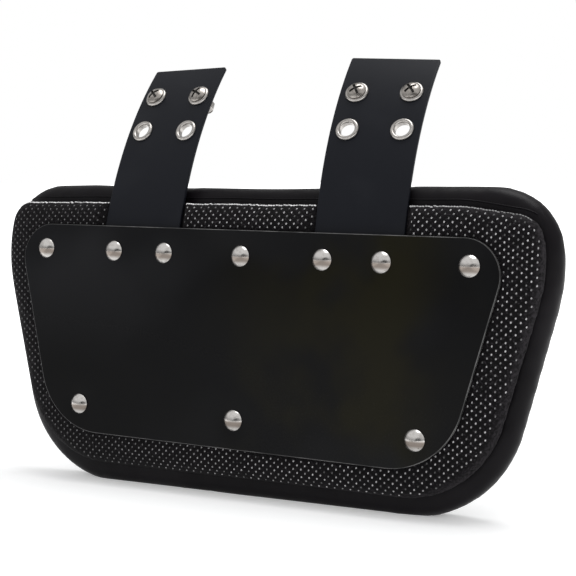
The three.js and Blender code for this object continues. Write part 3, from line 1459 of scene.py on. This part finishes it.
@dataclass(frozen=True)
class MeshPad:
    """The front layer of the padding: dotted knit with a rolled edge."""

    straps: Sequence[Strap]
    roll: float = 9.0
    back_edge: float = 1.6
    ease: float = 0.4
    corner: float = 13.0
    rise: float = 2.0
    panel_inset: float = 0.9
    side_inset: float = -2.0
    low_inset: float = 7.0
    panel_shift: float = 2.5
    strap_margin: float = 2.0
    plate_margin: float = 1.0
    bead: tuple[float, float, float] = (0.85, 0.54, 0.38)
    bead_pitch: float = 1.5
    bead_low: float = 24.5
    bead_stray: float = 0.45
    bead_margin: float = 0.5
    slack: Slack = Slack(sag=0.4, swell=0.4, ripple=0.9, droop=6.5)
    skew: float = 0.7
    offset: float = 1.0
    swelling: Inflation = field(default_factory=lambda: Inflation(limit=1.2))

    def own_frame(self) -> Matrix:
        """The small turn and shift of this layer behind the plate."""
        turn = Matrix.Rotation(math.radians(self.skew), 4, "Z")
        return Matrix.Translation((self.offset, 0.0, 0.0)) @ turn

    def held(self, point: Vector) -> bool:
        """Whether the plate or the layer behind holds a point still.

        Args:
            point: the point, in face millimetres.

        Returns:
            True where it is held.
        """
        margin = 1.5
        under_plate = PLATE_OUTLINE.grown(margin).holds(point.x, point.y)
        return under_plate or point.z < LAYERS.mesh_back + margin

    def build(self, material: bpy.types.Material) -> bpy.types.Object:
        """Makes the swollen layer.

        Args:
            material: the knit.

        Returns:
            The finished layer.
        """
        bm = slab(self.outline().grown(self.ease), LAYERS.mesh_back, LAYERS.mesh_front)
        round_off(bm, level_edges(bm, LAYERS.mesh_front), self.roll, segments=8)
        round_off(bm, level_edges(bm, LAYERS.mesh_back), self.back_edge, segments=3)
        bm.transform(self.own_frame())
        piece = make_object("knit_padding", bm, Matrix.Scale(MM, 4))
        self.swelling.apply(piece, self.held)
        pressed = PLATE_OUTLINE.grown(self.plate_margin)
        for vertex in piece.data.vertices:
            spot = clear_of_straps(self.slack.move(vertex.co / MM), self.straps)
            if pressed.holds(spot.x, spot.y):
                spot.z = min(spot.z, LAYERS.mesh_front)
            vertex.co = FACE_MATRIX @ spot
        piece.data.materials.append(material)
        hand_over(piece, Slot.MESH, ["mesh_pad"])
        return piece

    def outline(self) -> Outline:
        """The layer's outline, squarer at its upper corners than the solid that it stands for."""
        return replace(MESH_OUTLINE, top_radius=self.corner, bottom=MESH_OUTLINE.bottom + self.rise)

    def dotted_panel(self) -> Outline:
        """The part of the layer that dots are printed on.

        Returns:
            A panel that reaches over the upper roll and stops short of the lower sides.
        """
        whole = self.outline()
        return replace(
            whole,
            top=whole.top - self.panel_inset,
            bottom=whole.bottom + self.panel_inset,
            top_half=whole.top_half - self.side_inset,
            bottom_half=whole.bottom_half - self.low_inset,
        )

    def highlight_bead_places(self, pad: bpy.types.Object) -> Iterable[Matrix]:
        """Where the pale beads that paint a highlight along the top roll lie.

        Args:
            pad: the finished layer.

        Yields:
            Each bead's matrix in the face frame.
        """
        tree = face_tree(pad)
        seam = self.outline().grown(-self.panel_inset).points(self.bead_pitch)
        for spot, following in zip(seam, [*seam[1:], seam[0]]):
            stray = Vector((0.0, self.bead_stray * noise.noise(spot), 0.0))
            start = self.slack.move(self.own_frame() @ (spot + stray))
            if spot.y < self.bead_low:
                continue
            if any(strap.beyond(start.x, start.y) < self.bead_margin for strap in self.straps):
                continue
            ahead = (self.own_frame() @ following - start).normalized()
            point, normal, _, _ = tree.ray_cast(start + IN_FRONT, -IN_FRONT)
            if point is not None:
                yield lying_along(point, normal, ahead, self.bead)

    def dot_places(self, pad: bpy.types.Object) -> Iterable[Matrix]:
        """Where the dots stand on the layer's visible border.

        Args:
            pad: the finished layer.

        Yields:
            Each dot's matrix in the face frame.
        """
        tree = face_tree(pad)
        edge = self.outline().grown(-self.panel_inset - LATTICE.radius)
        panel = self.dotted_panel().grown(-LATTICE.radius)
        plate = PLATE_OUTLINE.grown(LATTICE.radius)
        ahead = Vector((LATTICE.lean, 1.0, 0.0)).normalized()
        size = (LATTICE.radius, LATTICE.narrow, LATTICE.height)
        half_row = LATTICE.up / 2.0
        rows = range(math.floor(MESH_OUTLINE.bottom / half_row), math.ceil(MESH_OUTLINE.top / half_row))
        half_columns = math.ceil(MESH_OUTLINE.top_half / LATTICE.across)
        for row in rows:
            stagger = 0.5 * (row % 2)
            for column in range(-half_columns, half_columns + 1):
                flat = Vector(((column + stagger) * LATTICE.across, row * half_row, 0.0))
                spot = self.slack.move(self.own_frame() @ flat)
                if not edge.holds(flat.x, flat.y) or not panel.holds(flat.x - self.panel_shift, flat.y):
                    continue
                if plate.holds(spot.x, spot.y):
                    continue
                if any(strap.beyond(spot.x, spot.y) < self.strap_margin for strap in self.straps):
                    continue
                point, normal, _, _ = tree.ray_cast(spot + IN_FRONT, -IN_FRONT)
                if point is not None:
                    yield lying_along(point, normal, ahead, size)

    def build_dots(self, pad: bpy.types.Object, material: bpy.types.Material) -> bpy.types.Object:
        """Prints the dots on the layer.

        Args:
            pad: the finished layer.
            material: the dots' rubber.

        Returns:
            All the dots as one object.
        """
        piece = scatter("knit_dots", self.dot_places(pad), segments=8, rings=5)
        piece.data.materials.append(material)
        return hand_over(piece, Slot.MESH)

    def build_top_highlight(self, pad: bpy.types.Object, material: bpy.types.Material) -> bpy.types.Object:
        """Lays the pale beads that paint a highlight along the layer's top roll.

        Args:
            pad: the finished layer.
            material: the beads' painted highlight.

        Returns:
            All the beads as one object.
        """
        # pale beads painted as the highlight on the top roll
        piece = scatter("knit_top_highlight_beads", self.highlight_bead_places(pad), segments=8, rings=5)
        piece.data.materials.append(material)
        return hand_over(piece, Slot.MESH)


@dataclass(frozen=True)
class RimPad:
    """The rear layer of the padding: smooth cloth with a fully rounded rim, sewn round its back."""

    straps: Sequence[Strap]
    edge: float = 7.8
    ease: float = 0.5
    corner: float = 34.5
    slack: Slack = Slack(sag=0.7, swell=2.0, ripple=0.7)
    skew: float = 1.0
    swelling: Inflation = field(default_factory=lambda: Inflation(limit=2.0))
    welt_radius: float = 0.4
    welt_margin: float = 2.9
    welt_low: float = 29.0
    welt_pitch: float = 2.0
    mesh_margin: float = 1.0
    seam_inset: float = 15.0
    seam_half: float = 1.6
    stitch: tuple[float, float, float] = (1.7, 0.42, 0.34)
    stitch_pitch: float = 4.6

    def own_frame(self) -> Matrix:
        """The small turn of this layer behind the plate."""
        return Matrix.Rotation(math.radians(self.skew), 4, "Z")

    def held(self, point: Vector) -> bool:
        """Whether the mesh layer or the back seam holds a point still.

        Args:
            point: the point, in face millimetres.

        Returns:
            True where it is held.
        """
        if point.z > LAYERS.rim_front - self.seam_half:
            return MESH_OUTLINE.grown(self.mesh_margin).holds(point.x, point.y)
        if point.z > LAYERS.rim_back + self.seam_half:
            return False
        own = self.own_frame().inverted() @ point
        outside = RIM_OUTLINE.grown(self.seam_half - self.seam_inset)
        inside = RIM_OUTLINE.grown(-self.seam_half - self.seam_inset)
        return outside.holds(own.x, own.y) and not inside.holds(own.x, own.y)

    def build(self, material: bpy.types.Material) -> bpy.types.Object:
        """Makes the swollen layer, resting flat on the ground.

        Args:
            material: the cloth.

        Returns:
            The finished layer.
        """
        plump = replace(RIM_OUTLINE, top_radius=self.corner).grown(self.ease)
        bm = slab(plump, LAYERS.rim_back, LAYERS.rim_front)
        rims = level_edges(bm, LAYERS.rim_front) + level_edges(bm, LAYERS.rim_back)
        round_off(bm, rims, self.edge, segments=8)
        bm.transform(self.own_frame())
        piece = make_object("rim_padding", bm, Matrix.Scale(MM, 4))
        self.swelling.apply(piece, self.held)
        for vertex in piece.data.vertices:
            place = FACE_MATRIX @ clear_of_straps(self.slack.move(vertex.co / MM), self.straps)
            place.z = max(0.0, place.z)
            vertex.co = place
        piece.data.materials.append(material)
        hand_over(piece, Slot.RIM, ["rim_pad"])
        return piece

    def build_welt(
        self, pad: bpy.types.Object, material: bpy.types.Material, mesh: MeshPad
    ) -> bpy.types.Object:
        """Lays the thin welt on the cloth above the mesh layer.

        Args:
            pad: the finished layer.
            material: the welt's cloth.
            mesh: the mesh layer, whose upper edge the welt follows.

        Returns:
            The finished welt.
        """
        tree = face_tree(pad)
        path = mesh.outline().grown(self.welt_margin).points(self.welt_pitch)
        over = [mesh.slack.move(mesh.own_frame() @ spot) for spot in path if spot.y > self.welt_low]
        hits = [tree.ray_cast(spot + IN_FRONT, -IN_FRONT)[0] for spot in over]
        laid = [FACE_MATRIX @ point for point in hits if point is not None]
        drawn = bpy.data.curves.new("welt_path", "CURVE")
        drawn.dimensions = "3D"
        drawn.bevel_depth = self.welt_radius * MM
        drawn.bevel_resolution = 2
        drawn.use_fill_caps = True
        spline = drawn.splines.new("POLY")
        spline.points.add(len(laid) - 1)
        for point, place in zip(spline.points, laid):
            point.co = (*place, 1.0)
        guide = bpy.data.objects.new("welt_path", drawn)
        bpy.context.scene.collection.objects.link(guide)
        tube = bpy.data.meshes.new_from_object(guide.evaluated_get(bpy.context.evaluated_depsgraph_get()))
        bpy.data.objects.remove(guide)
        piece = bpy.data.objects.new("rim_welt", tube)
        bpy.context.scene.collection.objects.link(piece)
        piece.data.shade_smooth()
        piece.data.materials.clear()
        piece.data.materials.append(material)
        return hand_over(piece, Slot.RIM)

    def stitch_places(self, pad: bpy.types.Object) -> Iterable[Matrix]:
        """Where the stitches of the back seam lie.

        Args:
            pad: the finished layer.

        Yields:
            Each stitch's matrix in the face frame.
        """
        tree = face_tree(pad)
        seam = RIM_OUTLINE.grown(-self.seam_inset).points(self.stitch_pitch)
        for spot, following in zip(seam, [*seam[1:], seam[0]]):
            start = self.own_frame() @ spot
            ahead = (self.own_frame() @ following - start).normalized()
            point, normal, _, _ = tree.ray_cast(start + AT_BACK, -AT_BACK)
            if point is not None:
                yield lying_along(point, normal, ahead, self.stitch)

    def build_stitches(self, pad: bpy.types.Object, material: bpy.types.Material) -> bpy.types.Object:
        """Sews the seam round the layer's back.

        Args:
            pad: the finished layer.
            material: the thread.

        Returns:
            All the stitches as one object.
        """
        piece = scatter("back_seam_stitches", self.stitch_places(pad), segments=10, rings=6)
        piece.data.materials.append(material)
        return hand_over(piece, Slot.RIM)


@dataclass(frozen=True)
class Rivets:
    """The domed rivets that hold the plate on."""

    head: float = 5.45
    height: float = 3.1
    lip: float = 0.45
    shank: float = 2.3
    length: float = 8.0
    facets: int = 40
    top_row: tuple[float, ...] = (-127.0, -80.6, -47.9, 0.0, 47.9, 80.6, 127.0)
    low_row: tuple[float, ...] = (-99.8, 0.0, 103.0)
    low: float = -86.5

    def places(self) -> dict[str, Vector]:
        """Where the rivets sit.

        Returns:
            Each rivet's place by its node's name.
        """
        rows = {"top": (0.0, self.top_row), "low": (self.low, self.low_row)}
        return {
            f"rivet_{row}_{number}": Vector((x, y, 0.0))
            for row, (y, columns) in rows.items()
            for number, x in enumerate(columns, 1)
        }

    def shape(self) -> bmesh.types.BMesh:
        """Makes one rivet.

        Returns:
            A shank, a small rounded lip and a dome.
        """
        half_lip = self.lip / 2.0
        lip = sweep((self.head - half_lip, half_lip), half_lip, -90.0, 0.0, steps=3)
        shank = [(0.0, -self.length), (self.shank, -self.length), (self.shank, 0.0)]
        crown = dome(self.head, self.lip, self.height, steps=9)
        return turned([*shank, *lip, *crown], self.facets)

    def build(self, material: bpy.types.Material) -> list[bpy.types.Object]:
        """Makes every rivet.

        Args:
            material: the rivets' metal.

        Returns:
            The finished rivets.
        """
        pieces = []
        for node, place in self.places().items():
            piece = make_object(f"domed_{node}", self.shape(), FACE_MATRIX @ Matrix.Translation(place))
            piece.data.materials.append(material)
            pieces.append(hand_over(piece, Slot.NICKEL, [node]))
        return pieces


@dataclass(frozen=True)
class Plate:
    """The hard gloss plate."""

    edge: float = 0.38
    rim: float = 0.4

    def build(self, gloss: bpy.types.Material, trimmed: bpy.types.Material) -> bpy.types.Object:
        """Makes the plate with its edges eased.

        Args:
            gloss: the finish of its broad faces.
            trimmed: the finish of its edge.

        Returns:
            The finished plate.
        """
        bm = slab(PLATE_OUTLINE, -LAYERS.plate, 0.0)
        rims = level_edges(bm, 0.0) + level_edges(bm, -LAYERS.plate)
        round_off(bm, rims, self.edge, segments=4)
        broad = broad_faces(bm)
        for face in set(bm.faces) - set(broad):
            face.material_index = 1
        bmesh.ops.inset_region(bm, faces=broad, thickness=self.rim, depth=0.0)
        piece = make_object("gloss_plate", bm, FACE_MATRIX)
        piece.data.materials.append(gloss)
        piece.data.materials.append(trimmed)
        return hand_over(piece, Slot.PLATE, ["back_plate"])


@dataclass(frozen=True)
class StrapHardware:
    """The eyelets of one strap, with a screw and its nut in each upper one."""

    strap: Strap
    seat_gap: float = 0.12
    bore: float = 4.1
    barrel: float = 4.6
    flange: float = 6.4
    roll: float = 1.3
    back_flange: float = 5.9
    back_roll: float = 0.8
    head: float = 5.1
    head_height: float = 2.6
    head_edge: float = 0.5
    shank: float = 2.35
    length: float = 15.0
    thread: float = 0.9
    thread_depth: float = 0.405
    cross: float = 7.0
    slot_width: float = 1.35
    slot_depth: float = 1.7
    nut_flats: float = 8.0
    nut_height: float = 4.0
    nut_distance: float = 5.0
    nut_edge: float = 0.35
    facets: int = 44

    def eyelet(self) -> bmesh.types.BMesh:
        """Makes one eyelet.

        Returns:
            A rolled ring on the strap's front, its barrel through it and a flatter ring behind.
        """
        back = -self.strap.thickness - self.seat_gap
        roll = (self.flange - self.bore) / 2.0
        front_roll = [
            (radius, self.seat_gap + height * self.roll / roll)
            for radius, height in sweep((self.bore + roll, 0.0), roll, 0.0, 180.0, steps=12)
        ]
        back_roll = (self.back_flange - self.bore) / 2.0
        rear_roll = [
            (radius, back + height * self.back_roll / back_roll)
            for radius, height in sweep((self.bore + back_roll, 0.0), back_roll, 180.0, 360.0, steps=10)
        ]
        inner = [(self.barrel, back), (self.barrel, self.seat_gap)]
        return turned([*front_roll, *rear_roll, *inner], self.facets, closed=True)

    def screw(self) -> bmesh.types.BMesh:
        """Makes one screw, before its cross is cut.

        Returns:
            A pan head on a threaded shank.
        """
        turns = round((self.length - self.strap.thickness) / self.thread)
        root = self.shank - self.thread_depth
        ridges = []
        for turn in range(turns):
            base = -self.length + turn * self.thread
            ridges += [(root, base), (self.shank, base + self.thread / 2.0)]
        neck = [(root, -self.strap.thickness), (self.shank, 0.0)]
        head = [(self.head, 0.0), *dome(self.head, self.head_edge, self.head_height, steps=8)]
        return turned([(0.0, -self.length), *ridges, *neck, *head], self.facets)

    def cross_cutter(self, place: Matrix, material: bpy.types.Material) -> bpy.types.Object:
        """Makes the two crossed blades that cut the recess in a screw's head.

        Args:
            place: where the screw goes.
            material: the painted shade inside the recess.

        Returns:
            Both blades as one object.
        """
        bm = bmesh.new()
        for quarter in (0.0, math.pi / 2.0):
            size = Matrix.Diagonal((self.cross, self.slot_width, 2.0 * self.slot_depth, 1.0))
            turn = Matrix.Rotation(quarter, 4, "Z")
            lift = Matrix.Translation((0.0, 0.0, self.head_height))
            bmesh.ops.create_cube(bm, size=1.0, matrix=lift @ turn @ size)
        cutter = make_object("cross_blades", bm, place)
        cutter.data.materials.append(material)
        return cutter

    def nut(self) -> bmesh.types.BMesh:
        """Makes one nut.

        Returns:
            A hexagon with its edges eased.
        """
        bm = bmesh.new()
        corner = self.nut_flats / math.sqrt(3.0)
        bmesh.ops.create_circle(bm, cap_ends=True, segments=6, radius=corner)
        thicken(bm, self.nut_height)
        round_off(bm, bm.edges[:], self.nut_edge, segments=2)
        return bm

    def build(
        self, nickel: bpy.types.Material, steel: bpy.types.Material, shade_in_recess: bpy.types.Material,
        turns: dict[str, float],
    ) -> None:
        """Makes all the hardware of the strap.

        Args:
            nickel: the metal of the eyelets and nuts.
            steel: the darker metal of the screws.
            shade_in_recess: the painted shade inside the cross recesses.
            turns: how far each screw's cross is turned, by its label.
        """
        screw_lift = LAYERS.gap + self.roll
        side = self.strap.side.label
        for label, (x, y) in self.strap.eyelets().items():
            seat = FACE_MATRIX @ self.strap.seat(x, y)
            ring = make_object(f"rolled_eyelet_{side}_{label}", self.eyelet(), seat)
            ring.data.materials.append(nickel)
            hand_over(ring, Slot.NICKEL, [f"eyelet_{side}_{label}"])
            if label not in turns:
                continue
            turn = Matrix.Rotation(math.radians(turns[label]), 4, "Z")
            place = seat @ Matrix.Translation((0.0, 0.0, screw_lift)) @ turn
            screw = make_object(f"pan_screw_{side}_{label}", self.screw(), place)
            screw.data.materials.append(steel)
            # the cross recess takes the painted shade
            carve(screw, self.cross_cutter(place, shade_in_recess))
            hand_over(screw, Slot.NICKEL, [f"screw_{side}_{label}"])
            depth = self.strap.thickness + self.nut_distance + self.nut_height
            behind = Matrix.Translation((0.0, 0.0, -depth))
            nut = make_object(f"hex_nut_{side}_{label}", self.nut(), seat @ behind)
            nut.data.materials.append(nickel)
            hand_over(nut, Slot.NICKEL, [f"nut_{side}_{label}"])


@dataclass(frozen=True)
class Softbox:
    """One soft studio light, in metres."""

    name: str
    place: tuple[float, float, float]
    aim: tuple[float, float, float]
    size: tuple[float, float]
    power: float

    def build(self) -> None:
        """Hangs the light."""
        light = bpy.data.lights.new(self.name, "AREA")
        light.shape = "ELLIPSE"
        light.size, light.size_y = self.size
        light.energy = self.power
        lamp = bpy.data.objects.new(self.name, light)
        lamp.location = self.place
        lamp.rotation_euler = (Vector(self.aim) - Vector(self.place)).to_track_quat("-Z", "Y").to_euler()
        bpy.context.scene.collection.objects.link(lamp)


@dataclass(frozen=True)
class Studio:
    """The pale floor, the soft light and the camera, in metres.

    The floor glows more behind the part, beside it and far away. The last two of these spans are squares of
    distances. The doorway is the direction in which the front of the surround is dark.
    """

    camera_offset: tuple[float, float, float] = (0.348297, -0.604383, 0.040044)
    camera_turn: tuple[float, float, float] = (85.329, 0.412, 27.869)
    lens: float = 83.125
    sensor: float = 36.0
    floor_size: float = 120.0
    floor_colour: Colour = (0.9, 0.905, 0.91)
    floor_tone: Colour = (0.93, 0.93, 0.93)
    floor_glow: float = 0.95
    floor_glow_near: float = 0.3
    glow_behind: Span = (0.05, 1.2)
    glow_beside: Span = (0.04, 0.14)
    glow_far: Span = (4.0, 16.0)
    back_light: float = 0.6
    front_light: float = 0.3
    ceiling_light: float = 0.57
    back_rise: Span = (-0.25, 0.35)
    ceiling_rise: Span = (0.02, 0.5)
    doorway: tuple[float, float] = (0.47, -0.88)
    doorway_edge: Span = (0.84, 0.94)
    doorway_top: Span = (0.3, 0.6)
    doorway_dark: float = 0.9
    lights: tuple[Softbox, ...] = (
        Softbox("overhead", place=(0.2, 0.2, 1.5), aim=(0.0, 0.05, 0.0), size=(1.2, 0.9), power=11.5),
    )

    def build_camera(self) -> None:
        """Sets the camera where the photograph was taken from."""
        lens = bpy.data.cameras.new("camera")
        lens.sensor_width = self.sensor
        lens.lens = self.lens
        camera = bpy.data.objects.new("camera", lens)
        camera.location = FACE.origin() + Vector(self.camera_offset)
        camera.rotation_euler = Euler([math.radians(angle) for angle in self.camera_turn])
        bpy.context.scene.collection.objects.link(camera)
        bpy.context.scene.camera = camera

    def build_floor(self) -> None:
        """Lays the pale floor."""
        material, bench = new_material("pale_floor")
        place = bench.node("ShaderNodeTexCoord").outputs["Object"]
        across, along, _ = bench.split(place)
        behind = along.smooth(*self.glow_behind)
        beside = (across**2.0).smooth(*self.glow_beside)
        far = (across**2.0 + along**2.0).smooth(*self.glow_far)
        away = 1.0 - (1.0 - behind) * (1.0 - beside) * (1.0 - far)
        glow = self.floor_glow_near + (1.0 - self.floor_glow_near) * away
        tone = bench.noise(place, 1.5, 2.0)
        shade(bench, {
            "Base Color": bench.mix(tone * 0.2, self.floor_colour, self.floor_tone),
            "Roughness": 0.9,
            "Specular IOR Level": 0.0,
            "Emission Color": bench.mix(glow, (0.0, 0.0, 0.0), (1.0, 1.0, 1.0)),
            "Emission Strength": self.floor_glow,
        })
        bm = bmesh.new()
        bmesh.ops.create_grid(bm, x_segments=4, y_segments=4, size=self.floor_size / 2.0)
        floor = make_object("floor", bm, Matrix.Identity(4))
        floor.data.materials.append(material)
        floor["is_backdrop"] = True

    def build_surround(self) -> None:
        """Paints the surround: white as seen, and for light a bright back and ceiling over a dim front."""
        world = bpy.data.worlds.new("surround")
        bpy.context.scene.world = world
        world.use_nodes = True
        bench = Bench(world.node_tree)
        across, back, up = bench.split(bench.node("ShaderNodeTexCoord").outputs["Generated"])
        behind = back.smooth(*self.back_rise)
        ceiling = up.smooth(*self.ceiling_rise)
        towards = across * self.doorway[0] + back * self.doorway[1]
        opening = towards.smooth(*self.doorway_edge) * (1.0 - up.smooth(*self.doorway_top))
        dimmed = 1.0 - self.doorway_dark * opening
        front = (self.front_light + self.ceiling_light * ceiling) * dimmed
        lit = behind * self.back_light + (1.0 - behind) * front
        seen = Value(bench, bench.node("ShaderNodeLightPath").outputs["Is Camera Ray"])
        strength = seen + (1.0 - seen) * lit
        light = bench.node("ShaderNodeBackground", None, {"Color": (1.0, 1.0, 1.0), "Strength": strength})
        bench.node("ShaderNodeOutputWorld", None, {"Surface": light.outputs[0]})

    def build(self) -> None:
        """Sets up the whole studio."""
        bpy.context.scene.view_settings.view_transform = "Standard"
        self.build_camera()
        self.build_floor()
        self.build_surround()
        for light in self.lights:
            light.build()


def write_sizes() -> None:
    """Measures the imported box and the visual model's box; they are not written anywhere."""
    boxes = {"cad": CAD_BOX, "visual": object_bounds()}
    plain = {name: [list(corner) for corner in box] for name, box in boxes.items()}


def main() -> None:
    """Builds the back plate and its studio."""
    logging.basicConfig(level=logging.INFO, format="%(name)s: %(message)s")
    straps = (Strap(Side.LEFT, 106.2), Strap(Side.RIGHT, 108.8, top_slope=2.0))
    screw_turns = {
        Side.LEFT: {"bolted_outer": 38.0, "bolted_inner": 56.0},
        Side.RIGHT: {"bolted_outer": 48.0, "bolted_inner": 40.0},
    }
    nickel = Nickel().material()
    worn_nickel = Nickel(
        "worn_nickel", bright=(0.42, 0.40, 0.38), dull=(0.29, 0.275, 0.26), roughness=0.28
    ).material()
    steel = Nickel(
        "dark_steel", bright=(0.37, 0.345, 0.32), dull=(0.13, 0.118, 0.107), roughness=0.25
    ).material()
    # painted shade for the screws' cross recesses
    shade_in_recess = RecessShade().material()
    satin = SatinPlastic().material()
    rivets = Rivets()

    Studio().build()
    rim = RimPad(straps)
    mesh = MeshPad(straps)
    thread = SewingThread().material()
    cloth = SatinCloth().material()
    rim_piece = rim.build(cloth)
    rim.build_welt(rim_piece, cloth, mesh)
    rim.build_stitches(rim_piece, thread)
    mesh_piece = mesh.build(MeshKnit().material())
    mesh.build_dots(mesh_piece, PrintedDot().material())
    # painted highlight along the top roll of the mesh
    mesh.build_top_highlight(mesh_piece, TopRollHighlight().material())
    Plate().build(GlossPlastic().material(list(rivets.places().values())), TrimmedEdge().material())
    rivets.build(nickel)
    for strap in straps:
        strap.build(satin)
        StrapHardware(strap).build(worn_nickel, steel, shade_in_recess, screw_turns[strap.side])
    write_sizes()


if __name__ == "__main__":
    main()
